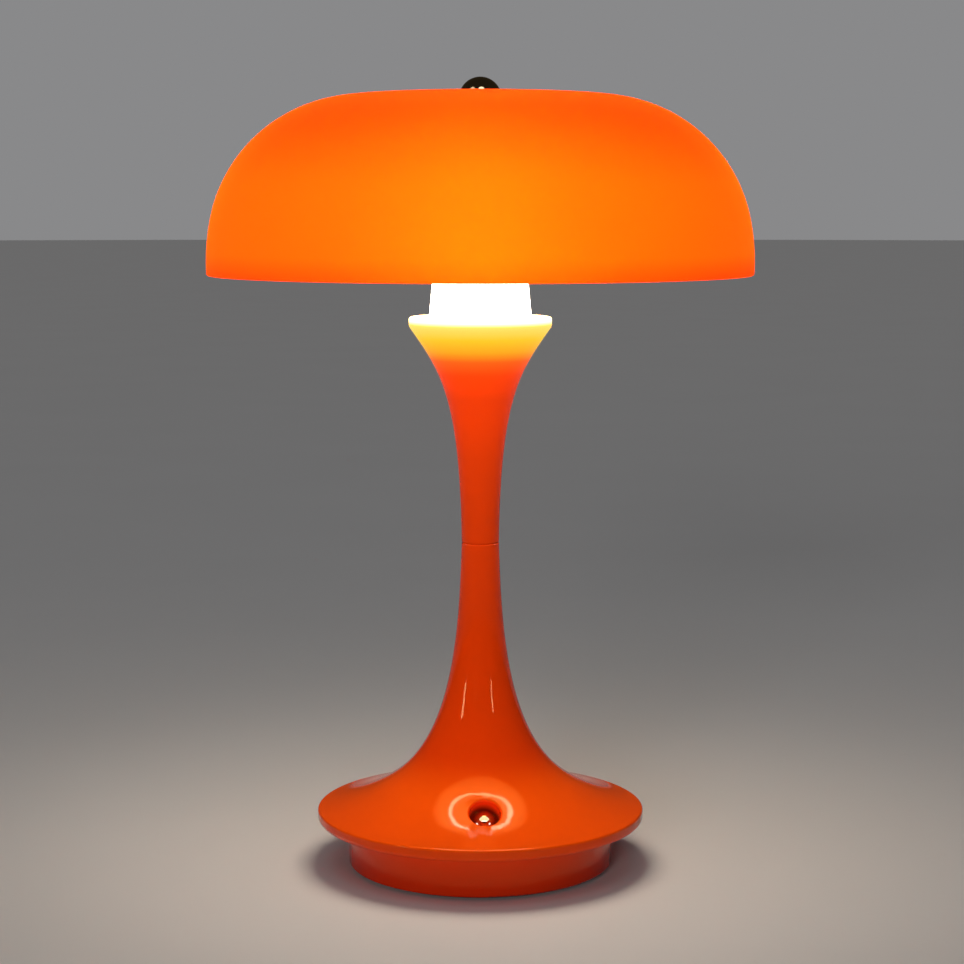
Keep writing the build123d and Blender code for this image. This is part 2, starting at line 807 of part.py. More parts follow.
with BuildPart() as finial:
    with Locations((0, 0, knob_foot + finial_stand - finial_bend)):
        Sphere(finial_bend)
    split(bisect_by=Plane.XY.offset(knob_foot), keep=Keep.TOP)
    with BuildSketch(Plane.XY.offset(knob_foot)):
        Circle(rod_radius + running_gap)
    extrude(amount=rod_end + finial_roof - knob_foot, mode=Mode.SUBTRACT)
save(finial, "finial")

# ---------- lead from the main board to the LED board ----------
def height_under_cover(radius):
    """Height at which the lead's middle line runs clear of the cover's wall."""
    reach = radius + lead_wall_gap
    curve = core_neck if reach < (core_neck @ 1).X else core_flare
    return point_at_radius(curve, reach).Y


lead_start = main_board_front + standoff_inset
lead_route = [
    (lead_start, port_base),
    (lead_start, height_under_cover(lead_start)),
    (lead_lean_radius, height_under_cover(lead_lean_radius)),
    (0, seam_height - nipple_grip - lead_run_below),
    (0, seam_height + nipple_grip + lead_run_above),
    (lead_offset, carrier_top - lead_run_end),
    (lead_offset, carrier_top),
]


def lead_bend(before, corner, after):
    """Largest radius that the two runs at a corner leave room for."""
    first = Vector(*corner) - Vector(*before)
    second = Vector(*after) - Vector(*corner)
    return 0.45 * min(first.length, second.length) / tan(radians(first.get_angle(second) / 2))


bends = [lead_bend(*lead_route[spot - 1 : spot + 2]) for spot in range(1, len(lead_route) - 1)]
print("lead bend radii", [round(bend, 1) for bend in bends])

with BuildPart() as led_lead:
    with BuildLine(Plane.YZ) as lead_path:
        FilletPolyline(*lead_route, radius=bends)
    with BuildSketch(Plane.XY.offset(port_base)):
        with Locations((0, lead_start)):
            Circle(lead_radius)
    sweep()
save(led_lead, "led_lead")
lead_length = sum(edge.length for edge in lead_path.edges())
print("lead volume", round(led_lead.part.volume), "length", round(lead_length))
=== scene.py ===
import json
from math import cos, pi, radians, sin

import bpy
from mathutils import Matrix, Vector


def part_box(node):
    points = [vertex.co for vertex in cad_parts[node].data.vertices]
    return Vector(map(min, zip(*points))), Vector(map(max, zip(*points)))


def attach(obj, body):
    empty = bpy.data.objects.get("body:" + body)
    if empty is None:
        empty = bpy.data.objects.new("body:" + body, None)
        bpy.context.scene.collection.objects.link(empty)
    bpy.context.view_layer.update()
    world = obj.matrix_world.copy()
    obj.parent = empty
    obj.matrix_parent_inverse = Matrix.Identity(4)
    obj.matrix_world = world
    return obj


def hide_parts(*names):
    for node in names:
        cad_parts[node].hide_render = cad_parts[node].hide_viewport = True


# Mushroom table lamp, lit, in metres. The stem stands on +Z, the push button faces -Y.
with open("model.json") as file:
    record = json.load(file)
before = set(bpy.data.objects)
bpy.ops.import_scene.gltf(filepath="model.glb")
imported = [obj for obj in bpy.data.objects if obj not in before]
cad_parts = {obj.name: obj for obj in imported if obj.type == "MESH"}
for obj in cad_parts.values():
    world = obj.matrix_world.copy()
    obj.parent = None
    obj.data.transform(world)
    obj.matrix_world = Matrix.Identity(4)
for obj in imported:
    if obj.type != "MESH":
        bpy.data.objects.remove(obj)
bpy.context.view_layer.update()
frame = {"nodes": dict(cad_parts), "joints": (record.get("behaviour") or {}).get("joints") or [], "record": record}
nodes = frame["nodes"]
scene = bpy.context.scene

# ---------- places taken from the frame ----------
shade_low, shade_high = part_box("shade")
drum_low, drum_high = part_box("base_drum")
diffuser_low, diffuser_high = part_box("diffuser")
button_low, button_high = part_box("button")
stem_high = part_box("upper_stem")[1]
finial_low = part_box("finial")[0]

rim_height = shade_low.z
crown_height = shade_high.z
collar_height = stem_high.z
finial_foot = Vector((0, 0, finial_low.z))

# The button is a ball at the outer end of a short stem, and its pocket has the ball's axis.
press = next(joint for joint in frame["joints"] if joint["name"] == "button_press")
button_axis = -Vector(press["axis"])
ball_radius = button_high.x
button_centre = Vector((0, button_low.y + ball_radius, button_high.z - ball_radius))

# ---------- the lamp's own light: stops are (place from the bottom up, colour) ----------
opal_strength = 9.0
opal_glow = (
    (0.0, (1.0, 0.90, 0.72)),
    (0.5, (1.0, 0.88, 0.68)),
    (1.0, (1.0, 0.80, 0.55)),
)
glow_low = 0.105             # where the glow inside the stem dies away
collar_glow_strength = 5.0
collar_glow = (
    (0.0, (0.0, 0.0, 0.0)),
    (0.30, (0.006, 0.0002, 0.0)),
    (0.60, (0.036, 0.0010, 0.0)),
    (0.72, (0.090, 0.0040, 0.0)),
    (0.79, (0.150, 0.0180, 0.001)),
    (0.835, (0.160, 0.0700, 0.002)),
    (0.900, (0.165, 0.1150, 0.004)),
    (0.965, (0.180, 0.1500, 0.030)),
    (0.985, (0.90, 0.70, 0.25)),
    (1.0, (1.0, 0.85, 0.40)),
)
shade_strength = 2.7
shade_outside_glow = (
    (0.0, (0.32, 0.006, 0.0)),
    (0.12, (0.34, 0.027, 0.0)),
    (0.50, (0.34, 0.025, 0.0)),
    (0.80, (0.32, 0.006, 0.0)),
    (1.0, (0.31, 0.0, 0.0)),
)
shade_inside_glow = (
    (0.0, (0.22, 0.14, 0.045)),
    (0.35, (0.60, 0.40, 0.13)),
    (1.0, (0.85, 0.57, 0.19)),
)


# ---------- node helpers ----------
class Finish:
    """A material and the few node shapes that its finishes are built from."""

    def __init__(self, name):
        self.material = bpy.data.materials.new(name)
        self.material.use_nodes = True
        self.nodes = self.material.node_tree.nodes
        self.links = self.material.node_tree.links
        self.shader = self.nodes["Principled BSDF"]
        self.place = self.nodes.new("ShaderNodeTexCoord").outputs["Object"]

    def set(self, **values):
        """Plain values on the shader's own sockets; an underscore stands for a space."""
        for name, value in values.items():
            self.shader.inputs[name.replace("_", " ")].default_value = value

    def node(self, kind, **settings):
        made = self.nodes.new(kind)
        for name, value in settings.items():
            setattr(made, name, value)
        return made

    def link(self, source, target):
        self.links.new(source, target)

    def noise(self, scale, detail=3.0, roughness=0.5, stretch=(1, 1, 1)):
        """Noise of a given number of features per metre; stretch draws it out along an axis."""
        mapping = self.node("ShaderNodeMapping")
        mapping.inputs["Scale"].default_value = stretch
        self.link(self.place, mapping.inputs["Vector"])
        noise = self.node("ShaderNodeTexNoise")
        noise.inputs["Scale"].default_value = scale
        noise.inputs["Detail"].default_value = detail
        noise.inputs["Roughness"].default_value = roughness
        self.link(mapping.outputs["Vector"], noise.inputs["Vector"])
        return noise.outputs["Fac"]

    def height(self):
        """Height above the table, in metres."""
        split = self.node("ShaderNodeSeparateXYZ")
        self.link(self.place, split.inputs["Vector"])
        return split.outputs["Z"]

    def span(self, source, low, high, to_low=0.0, to_high=1.0):
        """The source's range low to high, spread over another range."""
        ranged = self.node("ShaderNodeMapRange")
        for name, value in (
            ("From Min", low),
            ("From Max", high),
            ("To Min", to_low),
            ("To Max", to_high),
        ):
            ranged.inputs[name].default_value = value
        self.link(source, ranged.inputs["Value"])
        return ranged.outputs["Result"]

    def ramp(self, source, stops, smooth=False):
        """Colours along a source from 0 to 1, given as (place, colour)."""
        ramp = self.node("ShaderNodeValToRGB")
        ramp.color_ramp.interpolation = "EASE" if smooth else "LINEAR"
        while len(ramp.color_ramp.elements) < len(stops):
            ramp.color_ramp.elements.new(0.5)
        for element, (place, colour) in zip(ramp.color_ramp.elements, stops):
            element.position = place
            element.color = (*colour, 1.0)
        self.link(source, ramp.inputs["Fac"])
        return ramp.outputs["Color"]

    def mix(self, factor, first, second):
        """Blend of two colours, each a tuple or a socket, by a socket."""
        mix = self.node("ShaderNodeMix", data_type="RGBA")
        self.link(factor, mix.inputs["Factor"])
        for socket, value in ((mix.inputs[6], first), (mix.inputs[7], second)):
            if isinstance(value, tuple):
                socket.default_value = (*value, 1.0)
            else:
                self.link(value, socket)
        return mix.outputs[2]

    def scaled(self, source, factor):
        """A colour times a number, both by socket."""
        product = self.node("ShaderNodeVectorMath", operation="SCALE")
        self.link(source, product.inputs[0])
        self.link(factor, product.inputs["Scale"])
        return product.outputs["Vector"]

    def bump(self, source, depth):
        """Relief of a given depth in metres."""
        bump = self.node("ShaderNodeBump")
        bump.inputs["Distance"].default_value = depth
        bump.inputs["Strength"].default_value = 1.0
        self.link(source, bump.inputs["Height"])
        self.link(bump.outputs["Normal"], self.shader.inputs["Normal"])

    def colour(self, source):
        self.link(source, self.shader.inputs["Base Color"])

    def roughness(self, source):
        self.link(source, self.shader.inputs["Roughness"])

    def glow(self, source, strength):
        self.link(source, self.shader.inputs["Emission Color"])
        self.shader.inputs["Emission Strength"].default_value = strength


# ---------- finishes ----------
plastic_ior = 1.46
warm_gloss = (1.0, 0.70, 0.30, 1.0)    # tint of the gloss on orange plastic
gloss_roughness = 0.06
peel_grain = 700             # features of the orange peel in a metre
peel_depth = 0.000003
patch_grain = 60             # features of the duller patches in a metre

brim_low = 0.0163            # the brim's edge, above its skirt
brim_high = 0.050            # top of the range over which the orange changes
# Painted light: the brim's top is lighter and warmer where the lamp's light falls on it.
brim_painted_light = (0.97, 0.090, 0.002)
deep_orange = (0.77, 0.045, 0.001)
# Painted shade: the drum under the brim is deeper in colour and darker towards its foot.
drum_foot_painted_shade = (0.54, 0.017, 0.0)
drum_top_painted_shade = (0.74, 0.030, 0.001)
pigment_grain = 35
pigment_dark = 0.93          # the darkest drift in the pigment

pocket_radius = 0.0046
wall_full = pocket_radius + 0.0001     # the pocket's own colour is full within this radius
wall_end = pocket_radius + 0.0006      # and ends at this one
pocket_lip = 0.0075          # distances along the pocket's axis from the ball's middle
pocket_floor = -0.002
# Stops from the pocket's lip to its floor: painted shade that darkens deeper in, and a faint painted glow.
pocket_shadow = (
    (0.0, (0.92, 0.060, 0.001)),
    (0.45, (0.80, 0.035, 0.001)),
    (1.0, (0.30, 0.008, 0.0)),
)
pocket_painted_glow = (
    (0.0, (0.10, 0.004, 0.0)),
    (0.45, (0.24, 0.011, 0.001)),
    (1.0, (0.05, 0.002, 0.0)),
)

shade_dark = (0.93, 0.152, 0.001)
shade_light = (0.97, 0.166, 0.001)
facing_blend = 0.001         # half the width of the change from the shade's inside to its outside


def orange_peel(finish):
    """The faint waviness of a moulded surface."""
    finish.bump(finish.noise(peel_grain, detail=2.0), peel_depth)


def gloss(finish):
    """Deep gloss on moulded plastic: a faint orange peel and a few duller patches."""
    orange_peel(finish)
    patches = finish.noise(patch_grain, detail=4.0)
    finish.roughness(
        finish.span(patches, 0.35, 0.7, to_low=gloss_roughness * 0.8, to_high=gloss_roughness * 1.3)
    )
    finish.set(IOR=plastic_ior, Specular_Tint=warm_gloss)


def with_drift(finish, colour):
    """A colour with a slow drift in its pigment."""
    cloud = finish.noise(pigment_grain, detail=4.0)
    return finish.scaled(colour, finish.span(cloud, 0.3, 0.7, to_low=pigment_dark, to_high=1.0))


def orange_with_brim_light(finish):
    """Deep orange, with painted light: warmer on the brim's top, where the lamp's light falls, than up the stem.
    """
    up = finish.span(finish.height(), brim_low, brim_high)
    stops = ((0.0, deep_orange), (0.04, brim_painted_light), (0.25, brim_painted_light), (0.60, deep_orange))
    return with_drift(finish, finish.ramp(up, stops, smooth=True))


def pocket_places(finish):
    """A point's distance from the pocket's axis, and its place along it from the ball's middle."""
    from_ball = finish.node("ShaderNodeVectorMath", operation="SUBTRACT")
    finish.link(finish.place, from_ball.inputs[0])
    from_ball.inputs[1].default_value = button_centre
    across = finish.node("ShaderNodeVectorMath", operation="CROSS_PRODUCT")
    along = finish.node("ShaderNodeVectorMath", operation="DOT_PRODUCT")
    for product in (across, along):
        finish.link(from_ball.outputs["Vector"], product.inputs[0])
        product.inputs[1].default_value = button_axis
    off_axis = finish.node("ShaderNodeVectorMath", operation="LENGTH")
    finish.link(across.outputs["Vector"], off_axis.inputs[0])
    return off_axis.outputs["Value"], along.outputs["Value"]


def body_orange():
    """The foot's gloss; the wall of the button's pocket has painted shade, darker deeper in, and a faint painted
    glow.
    """
    finish = Finish("body_orange_gloss")
    off_axis, along = pocket_places(finish)
    wall = finish.span(off_axis, wall_full, wall_end, to_low=1.0, to_high=0.0)
    depth = finish.span(along, pocket_lip, pocket_floor)
    finish.colour(finish.mix(wall, orange_with_brim_light(finish), finish.ramp(depth, pocket_shadow)))
    finish.glow(finish.mix(wall, (0.0, 0.0, 0.0), finish.ramp(depth, pocket_painted_glow)), 1.0)
    gloss(finish)
    return finish.material


def drum_shaded_orange():
    """The drum's orange with painted shade: deeper than the rest, as it lies under the brim, and darker towards
    its foot.
    """
    finish = Finish("drum_orange_gloss")
    up = finish.span(finish.height(), drum_low.z, drum_high.z)
    along = finish.ramp(up, ((0.0, drum_foot_painted_shade), (1.0, drum_top_painted_shade)), smooth=True)
    finish.colour(with_drift(finish, along))
    gloss(finish)
    return finish.material


def stem_orange():
    """The same gloss with the collar's glow: pale at the lip, then yellow, orange and none."""
    finish = Finish("stem_orange_glow")
    finish.colour(orange_with_brim_light(finish))
    up = finish.span(finish.height(), glow_low, collar_height)
    finish.glow(finish.ramp(up, collar_glow), collar_glow_strength)
    gloss(finish)
    return finish.material


def shade_orange():
    """Translucent orange that glows all over, more and yellower on its inside."""
    finish = Finish("shade_orange_translucent")
    cloud = finish.span(finish.noise(25, detail=3.0), 0.3, 0.7)
    finish.colour(finish.mix(cloud, shade_dark, shade_light))
    up = finish.span(finish.height(), rim_height, crown_height)
    # The outside is the face whose normal points away from the middle of the shade's mouth.
    from_middle = finish.node("ShaderNodeVectorMath", operation="SUBTRACT")
    finish.link(finish.place, from_middle.inputs[0])
    from_middle.inputs[1].default_value = (0, 0, rim_height)
    facing = finish.node("ShaderNodeVectorMath", operation="DOT_PRODUCT")
    normal = finish.node("ShaderNodeNewGeometry").outputs["Normal"]
    finish.link(from_middle.outputs["Vector"], facing.inputs[0])
    finish.link(normal, facing.inputs[1])
    outside = finish.span(facing.outputs["Value"], -facing_blend, facing_blend)
    inner = finish.ramp(up, shade_inside_glow)
    outer = finish.ramp(up, shade_outside_glow)
    finish.glow(finish.mix(outside, inner, outer), shade_strength)
    orange_peel(finish)
    finish.set(Roughness=0.80, IOR=plastic_ior, Transmission_Weight=0.55)
    finish.set(Specular_Tint=warm_gloss)
    return finish.material


def opal():
    """White opal plastic, lit: warm white, a little weaker towards its top."""
    finish = Finish("opal_glow")
    up = finish.span(finish.height(), diffuser_low.z, diffuser_high.z)
    finish.glow(finish.ramp(up, opal_glow), opal_strength)
    finish.colour(finish.mix(finish.noise(40), (0.92, 0.90, 0.86), (0.96, 0.95, 0.92)))
    finish.set(Roughness=0.35)
    return finish.material


def chrome(name, tint, roughness):
    """Polished plating with a faint haze and slight tarnish."""
    finish = Finish(name)
    haze = finish.noise(300, detail=5.0)
    finish.roughness(finish.span(haze, 0.3, 0.8, to_low=roughness, to_high=roughness * 2.5))
    finish.colour(finish.mix(finish.noise(120), tuple(0.94 * part for part in tint), tint))
    finish.set(Metallic=1.0)
    return finish.material


def plain_metal(name, tint, roughness, lines=(1, 1, 1)):
    """Turned or drawn metal: fine lines that the roughness follows."""
    finish = Finish(name)
    grain = finish.noise(900, detail=6.0, stretch=lines)
    finish.roughness(finish.span(grain, 0.2, 0.8, roughness * 0.75, roughness * 1.3))
    finish.colour(finish.mix(grain, tuple(0.85 * part for part in tint), tint))
    finish.bump(grain, 0.00001)
    finish.set(Metallic=1.0)
    return finish.material


def moulded(name, dark, light, roughness, grain_scale=1500, depth=0.00002):
    """Moulded plastic, rubber or card: fine grain and slight colour drift."""
    finish = Finish(name)
    finish.colour(finish.mix(finish.noise(80, detail=4.0), dark, light))
    grain = finish.noise(grain_scale, detail=4.0)
    finish.roughness(finish.span(grain, 0.2, 0.8, roughness * 0.85, min(1.0, roughness * 1.15)))
    finish.bump(grain, depth)
    return finish.material


finishes = {
    "shade_orange": shade_orange(),
    "body_orange": body_orange(),
    "opal": opal(),
    "dark_chrome": chrome("dark_chrome_polished", (0.30, 0.26, 0.23), 0.05),
    "chrome": chrome("chrome_polished", (0.52, 0.49, 0.46), 0.03),
    "steel": plain_metal("steel_zinc", (0.62, 0.62, 0.60), 0.32),
    "ballast_steel": plain_metal("steel_ballast", (0.30, 0.30, 0.31), 0.5),
    "brass": plain_metal("brass_turned", (0.78, 0.58, 0.28), 0.28, (1, 1, 12)),
    "aluminium": plain_metal("aluminium_turned", (0.80, 0.80, 0.81), 0.3, (1, 1, 12)),
    "rubber": moulded("rubber_black", (0.012, 0.012, 0.012), (0.022, 0.022, 0.021), 0.75),
    "foam": moulded("foam_grey", (0.10, 0.10, 0.10), (0.18, 0.18, 0.17), 0.95, 2500, 0.00008),
    "cable": moulded("cable_sheath", (0.55, 0.55, 0.52), (0.66, 0.66, 0.62), 0.5),
    "board_green": moulded("board_mask_green", (0.010, 0.10, 0.04), (0.015, 0.16, 0.06), 0.35),
    "board_white": moulded("board_mask_white", (0.78, 0.78, 0.74), (0.88, 0.88, 0.85), 0.4),
    "led": moulded("led_phosphor", (0.85, 0.62, 0.10), (0.95, 0.78, 0.20), 0.4),
    "battery_wrap": moulded("battery_film", (0.36, 0.38, 0.44), (0.46, 0.48, 0.54), 0.25),
    "black_plastic": moulded("plastic_black", (0.018, 0.018, 0.02), (0.03, 0.03, 0.032), 0.5),
}
slots = {row["node"]: row["material_slot"] for row in frame["record"]["subparts"]}
stem_finish = stem_orange()


def dress(name, material):
    """Gives a node of the frame its finish."""
    node = nodes[name]
    node.data.materials.clear()
    node.data.materials.append(material)


for name in nodes:
    dress(name, finishes[slots[name]])
dress("upper_stem", stem_finish)
dress("base_drum", drum_shaded_orange())


# ---------- small repeated detail ----------
def growing_tree(name, sizes):
    """An empty geometry tree with a named input for each size, and its input and output nodes."""
    tree = bpy.data.node_groups.new(name, "GeometryNodeTree")
    tree.interface.new_socket("Geometry", in_out="OUTPUT", socket_type="NodeSocketGeometry")
    for label, value in sizes.items():
        kind = "NodeSocketInt" if isinstance(value, int) else "NodeSocketFloat"
        tree.interface.new_socket(label, in_out="INPUT", socket_type=kind)
    return tree, tree.nodes.new("NodeGroupInput").outputs, tree.nodes.new("NodeGroupOutput")


def tree_node(tree, kind, links=(), **values):
    """A node with its plain values set and its sockets linked, given as (socket, source)."""
    made = tree.nodes.new(kind)
    for name, value in values.items():
        made.inputs[name.replace("_", " ")].default_value = value
    for socket, source in links:
        tree.links.new(source, made.inputs[socket])
    return made


def close_tree(tree, parts, material, result):
    """Joins the parts, makes them real and gives them their finish."""
    joined = tree_node(tree, "GeometryNodeJoinGeometry", [("Geometry", part) for part in parts])
    real = tree_node(tree, "GeometryNodeRealizeInstances", [("Geometry", joined.outputs[0])])
    dressed = tree_node(tree, "GeometryNodeSetMaterial", [("Geometry", real.outputs[0])])
    dressed.inputs["Material"].default_value = material
    tree.links.new(dressed.outputs[0], result.inputs["Geometry"])


def grown(name, tree, sizes):
    """Grows a tree with its sizes and keeps the result as a plain mesh."""
    piece = bpy.data.objects.new(name, bpy.data.meshes.new(name + "_seed"))
    scene.collection.objects.link(piece)
    modifier = piece.modifiers.new("grow", "NODES")
    modifier.node_group = tree
    for item in tree.interface.items_tree:
        if item.in_out == "INPUT":
            modifier[item.identifier] = sizes[item.name]
    evaluated = piece.evaluated_get(bpy.context.evaluated_depsgraph_get())
    mesh = bpy.data.meshes.new_from_object(evaluated)
    piece.modifiers.remove(modifier)
    seed = piece.data
    piece.data = mesh
    bpy.data.meshes.remove(seed)
    return piece


def threaded_rod():
    """The rod through the shade: a coarse thread wound round its core for its whole length."""
    low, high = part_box("shade_rod")
    depth = 0.00040
    turn_rise = 0.0008       # as far as the knob rises in one turn
    wound_length = high.z - low.z - 2 * depth
    sizes = {
        "Core radius": high.x - depth,
        "Thread depth": depth,
        "Turns": wound_length / turn_rise,
        "Wound length": wound_length,
        "Length": high.z - low.z,
        "Foot": low.z,
        "Middle": (low.z + high.z) / 2,
        "Steps a turn": 24,
    }
    tree, given, result = growing_tree("thread", sizes)
    spiral = tree_node(
        tree,
        "GeometryNodeCurveSpiral",
        [
            ("Resolution", given["Steps a turn"]),
            ("Rotations", given["Turns"]),
            ("Start Radius", given["Core radius"]),
            ("End Radius", given["Core radius"]),
            ("Height", given["Wound length"]),
        ],
    )
    upright = tree_node(tree, "GeometryNodeSetCurveNormal", [("Curve", spiral.outputs[0])])
    upright.mode = "Z_UP"
    ridge = tree_node(
        tree, "GeometryNodeCurvePrimitiveCircle", [("Radius", given["Thread depth"])], Resolution=4
    )
    wound = tree_node(
        tree,
        "GeometryNodeCurveToMesh",
        [("Curve", upright.outputs[0]), ("Profile Curve", ridge.outputs[0])],
        Fill_Caps=True,
    )
    core = tree_node(
        tree,
        "GeometryNodeMeshCylinder",
        [("Radius", given["Core radius"]), ("Depth", given["Length"])],
        Vertices=48,
    )
    thread_foot = tree_node(
        tree, "ShaderNodeMath", [(0, given["Foot"]), (1, given["Thread depth"])]
    )
    parts = []
    for shape, rise in ((wound, thread_foot.outputs[0]), (core, given["Middle"])):
        raised = tree_node(tree, "ShaderNodeCombineXYZ", [("Z", rise)])
        placed = tree_node(
            tree,
            "GeometryNodeTransform",
            [("Geometry", shape.outputs[0]), ("Translation", raised.outputs[0])],
        )
        parts.append(placed.outputs[0])
    close_tree(tree, parts, finishes["steel"], result)
    rod = grown("shade_rod_thread", tree, sizes)
    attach(rod, "lamp")
    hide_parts("shade_rod")


def socket_contacts():
    """Twelve gold contacts on each face of the tongue in the charging socket."""
    low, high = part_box("usb_tongue")
    proud = 0.00003
    contacts_a_face = 12
    tongue_length = high.y - low.y
    contact_share = 0.6      # of the tongue's length
    tip_margin = 0.0004      # from the tongue's tip to the contacts
    sizes = {
        "Contacts": contacts_a_face,
        "Pitch": 0.0005,
        "Width": 0.00025,
        "Length": contact_share * tongue_length,
        "Thickness": 2 * proud,
        "Upper face": high.z,
        "Lower face": low.z,
        "Middle": high.y - tip_margin - contact_share / 2 * tongue_length,
    }
    tree, given, result = growing_tree("contacts", sizes)
    size = tree_node(
        tree,
        "ShaderNodeCombineXYZ",
        [("X", given["Width"]), ("Y", given["Length"]), ("Z", given["Thickness"])],
    )
    contact = tree_node(tree, "GeometryNodeMeshCube", [("Size", size.outputs[0])])
    offset = tree_node(tree, "ShaderNodeCombineXYZ", [("X", given["Pitch"])])
    half_row = tree_node(tree, "ShaderNodeMath", [(0, given["Pitch"])])
    half_row.operation = "MULTIPLY"
    half_row.inputs[1].default_value = -(contacts_a_face - 1) / 2
    parts = []
    for face in ("Upper face", "Lower face"):
        start = tree_node(
            tree,
            "ShaderNodeCombineXYZ",
            [("X", half_row.outputs[0]), ("Y", given["Middle"]), ("Z", given[face])],
        )
        row = tree_node(
            tree,
            "GeometryNodeMeshLine",
            [
                ("Count", given["Contacts"]),
                ("Start Location", start.outputs[0]),
                ("Offset", offset.outputs[0]),
            ],
        )
        placed = tree_node(
            tree,
            "GeometryNodeInstanceOnPoints",
            [("Points", row.outputs[0]), ("Instance", contact.outputs[0])],
        )
        parts.append(placed.outputs[0])
    close_tree(tree, parts, finishes["brass"], result)
    contacts = grown("usb_contacts", tree, sizes)
    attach(contacts, "lamp")


threaded_rod()
socket_contacts()


# ---------- stage ----------
floor_radius = 12.0
floor_sides = 128
floor_dark = (0.66, 0.657, 0.652)
floor_light = (0.69, 0.687, 0.682)
light_aim = Vector((0, 0, 0.10))
sun_distance = 3.0
strip_distance = 1.5
mouth_drop = 0.001           # mouth light's place below the shade's rim
mouth_colour = (1.0, 0.84, 0.68)
room_even = (0.055, 0.055, 0.06, 1)
room_gloss = (0.045, 0.033, 0.016, 1)
room_seen = (0.25, 0.25, 0.255, 1)


def floor():
    """Plain pale table top, a round sheet far wider than the picture."""
    bpy.ops.mesh.primitive_circle_add(
        vertices=floor_sides, radius=floor_radius, fill_type="NGON"
    )
    sheet = bpy.context.object
    sheet.name = "floor"
    finish = Finish("floor_pale")
    finish.colour(finish.mix(finish.noise(8), floor_dark, floor_light))
    finish.set(Roughness=0.75, Specular_IOR_Level=0.2)
    sheet.data.materials.append(finish.material)


def round_lamp(azimuth, elevation, distance):
    """A place round the lamp; azimuth 0 is the camera's side, positive to its right."""
    turn, rise = radians(azimuth), radians(elevation)
    toward = Vector((sin(turn) * cos(rise), -cos(turn) * cos(rise), sin(rise)))
    return toward * distance + light_aim


def hang(name, light, place, rays, aim=None):
    """Puts a light in the scene for some kinds of ray only, facing down or towards an aim."""
    lamp = bpy.data.objects.new(name, light)
    lamp.location = place
    if aim is not None:
        lamp.rotation_euler = (aim - place).to_track_quat("-Z", "Y").to_euler()
    lamp.visible_camera = False
    for kind in ("diffuse", "glossy", "transmission"):
        setattr(lamp, "visible_" + kind, kind in rays)
    scene.collection.objects.link(lamp)


def area_light(name, shape, width, height, power, colour=(1, 1, 1)):
    """A flat light, its size in metres and its power in watts."""
    light = bpy.data.lights.new(name, "AREA")
    light.shape = shape
    light.size = width
    light.size_y = height
    light.energy = power
    light.color = colour
    return light


def soft_sun(name, azimuth, elevation, strength, spread):
    """Even soft light with no highlight of its own."""
    light = bpy.data.lights.new(name, "SUN")
    light.energy = strength
    light.angle = radians(spread)
    place = round_lamp(azimuth, elevation, sun_distance)
    hang(name, light, place, rays=("diffuse", "transmission"), aim=light_aim)


def strip(name, azimuth, elevation, width, height, power):
    """Upright panel that only shows as a streak in the gloss."""
    light = area_light(name, "RECTANGLE", width, height, power)
    place = round_lamp(azimuth, elevation, strip_distance)
    hang(name, light, place, rays=("glossy", "transmission"), aim=light_aim)


def mouth_light(name, radius, power):
    """Disc in the shade's mouth that stands for the light thrown down by its inside."""
    light = area_light(name, "DISK", 2 * radius, 2 * radius, power, mouth_colour)
    hang(name, light, Vector((0, 0, rim_height - mouth_drop)), rays=("diffuse",))


def glint(name, place, aim, width, height, power, colour):
    """Small oval panel close to the gloss, turned towards the point that it shows in."""
    light = area_light(name, "ELLIPSE", width, height, power, colour)
    hang(name, light, place, rays=("glossy",), aim=aim)


def ring_light(name, radius, height, width, flatness, power, colour):
    """Flattened ring round the stem, seen only in the gloss: the pale horseshoe by the button."""
    across = 2 * (radius + width)
    light = area_light(name, "RECTANGLE", across, across * flatness, power, colour)
    light.use_nodes = True
    tree = light.node_tree
    from_middle = tree.nodes.new("ShaderNodeVectorMath")
    from_middle.operation = "SUBTRACT"
    from_middle.inputs[1].default_value = (0.5, 0.5, 0.0)
    panel_place = tree.nodes.new("ShaderNodeNewGeometry").outputs["Parametric"]
    tree.links.new(panel_place, from_middle.inputs[0])
    in_metres = tree.nodes.new("ShaderNodeVectorMath")
    in_metres.operation = "MULTIPLY"
    in_metres.inputs[1].default_value = (light.size, light.size, 0.0)
    tree.links.new(from_middle.outputs["Vector"], in_metres.inputs[0])
    distance = tree.nodes.new("ShaderNodeVectorMath")
    distance.operation = "LENGTH"
    tree.links.new(in_metres.outputs["Vector"], distance.inputs[0])
    band = tree.nodes.new("ShaderNodeMath")
    band.operation = "COMPARE"
    band.inputs[1].default_value = radius
    band.inputs[2].default_value = width / 2
    tree.links.new(distance.outputs["Value"], band.inputs[0])
    tree.links.new(band.outputs["Value"], tree.nodes["Emission"].inputs["Strength"])
    hang(name, light, Vector((0, 0, height)), rays=("glossy",))


def in_pocket(across, up, reach):
    """A place in the pocket, from the ball's middle: across, up its slope, out along its axis."""
    side = Vector((1, 0, 0))
    return button_centre + side * across + button_axis.cross(side) * up + button_axis * reach


def room():
    """One grey for the camera, a dim one for reflections, and a weak even light on everything."""
    world = bpy.data.worlds.new("room")
    world.use_nodes = True
    scene.world = world
    tree = world.node_tree
    background = tree.nodes["Background"]
    path = tree.nodes.new("ShaderNodeLightPath")
    colour = room_even
    for ray, seen in (("Is Glossy Ray", room_gloss), ("Is Camera Ray", room_seen)):
        pick = tree.nodes.new("ShaderNodeMix")
        pick.data_type = "RGBA"
        if isinstance(colour, tuple):
            pick.inputs[6].default_value = colour
        else:
            tree.links.new(colour, pick.inputs[6])
        pick.inputs[7].default_value = seen
        tree.links.new(path.outputs[ray], pick.inputs["Factor"])
        colour = pick.outputs[2]
    tree.links.new(colour, background.inputs["Color"])


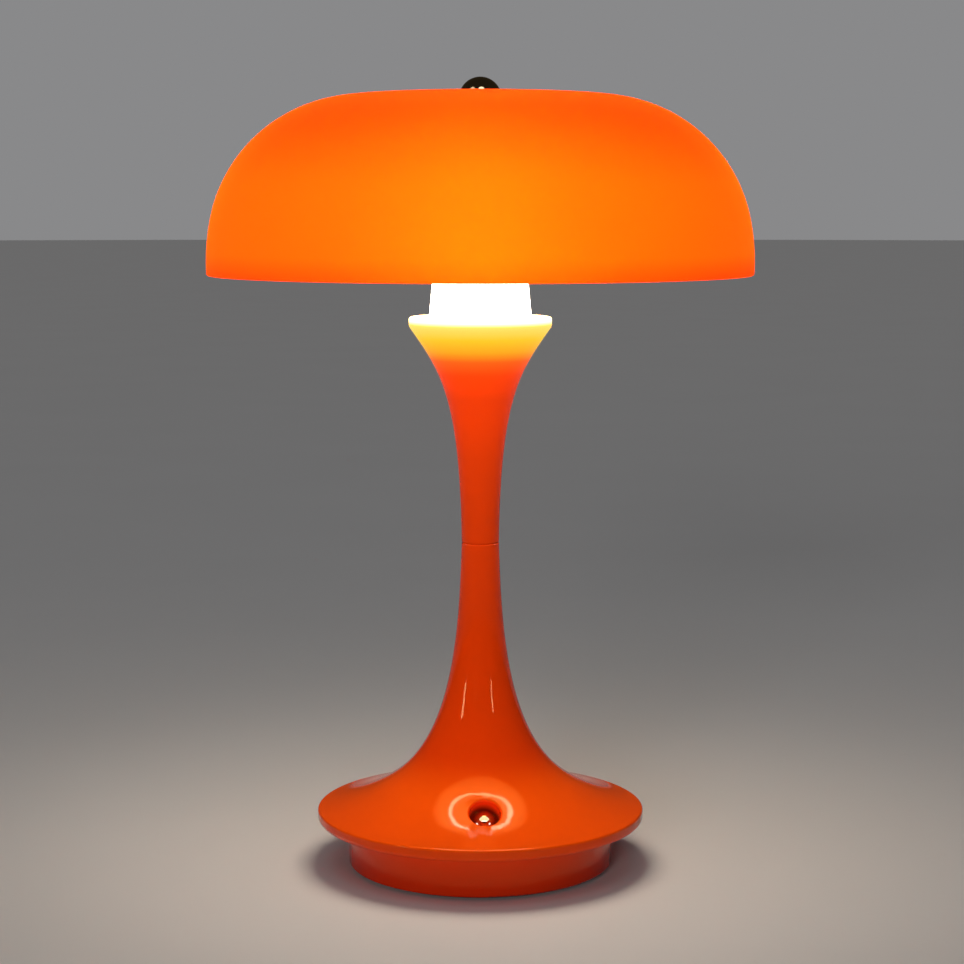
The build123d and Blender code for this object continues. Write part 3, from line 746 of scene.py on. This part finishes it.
floor()
room()
soft_sun("key", azimuth=-18, elevation=10, strength=1.10, spread=20)
soft_sun("top", azimuth=-20, elevation=75, strength=0.36, spread=40)
strip("streak_left", azimuth=-57, elevation=14, width=0.14, height=0.30, power=1.3)
strip("streak_right", azimuth=36, elevation=14, width=0.07, height=0.28, power=0.7)
mouth_light("mouth", radius=0.046, power=0.285)
ring_light(
    "lip_ring",
    radius=0.030,
    height=0.120,
    width=0.0038,
    flatness=0.82,
    power=0.17,
    colour=(1.0, 0.72, 0.72),
)
glint(
    "button_glint",
    place=in_pocket(across=0, up=0.0010, reach=0.0057),
    aim=button_centre,
    width=0.0088,
    height=0.0040,
    power=0.00018,
    colour=(1.0, 0.80, 0.42),
)
glint(
    "glint_left",
    place=in_pocket(across=-0.0030, up=-0.0015, reach=0.0023),
    aim=button_centre,
    width=0.0012,
    height=0.0012,
    power=8e-6,
    colour=(1.0, 0.9, 0.75),
)
glint(
    "glint_right",
    place=in_pocket(across=0.0025, up=-0.0017, reach=0.0032),
    aim=button_centre,
    width=0.0011,
    height=0.0011,
    power=6e-6,
    colour=(1.0, 0.9, 0.75),
)
glint(
    "edge_glint",
    place=Vector((0, -0.050, 0.032)),
    aim=Vector((0, -0.050, 0)),
    width=0.038,
    height=0.006,
    power=0.0030,
    colour=(1.0, 0.65, 0.65),
)
glint(
    "finial_glint",
    place=finial_foot + Vector((0.002, -0.022, 0.022)),
    aim=finial_foot,
    width=0.014,
    height=0.010,
    power=0.0016,
    colour=(1.0, 0.90, 0.62),
)
glint(
    "finial_side",
    place=finial_foot + Vector((-0.018, -0.014, 0.020)),
    aim=finial_foot,
    width=0.012,
    height=0.008,
    power=0.0006,
    colour=(1.0, 0.80, 0.50),
)
# Keeps the shade's orange off the foot and the table.
nodes["shade"].visible_diffuse = False


# ---------- camera ----------
def camera():
    """At the photograph's place: 665 mm from the lamp's axis, 198 mm up, tilted 7 degrees down."""
    distance, height, sideways = 0.6652, 0.1978, 0.0005
    orbit, tilt = radians(-2.5), radians(7.03)
    lens = bpy.data.cameras.new("camera")
    lens.sensor_width = 36.0
    lens.lens = 84.25
    lens.clip_start = 0.01
    lens.clip_end = 20.0
    eye = bpy.data.objects.new("camera", lens)
    eye.location = (
        sin(orbit) * distance + cos(orbit) * sideways,
        -cos(orbit) * distance + sin(orbit) * sideways,
        height,
    )
    eye.rotation_euler = (pi / 2 - tilt, 0, orbit)
    scene.collection.objects.link(eye)
    scene.camera = eye


camera()
scene.view_settings.view_transform = "Standard"
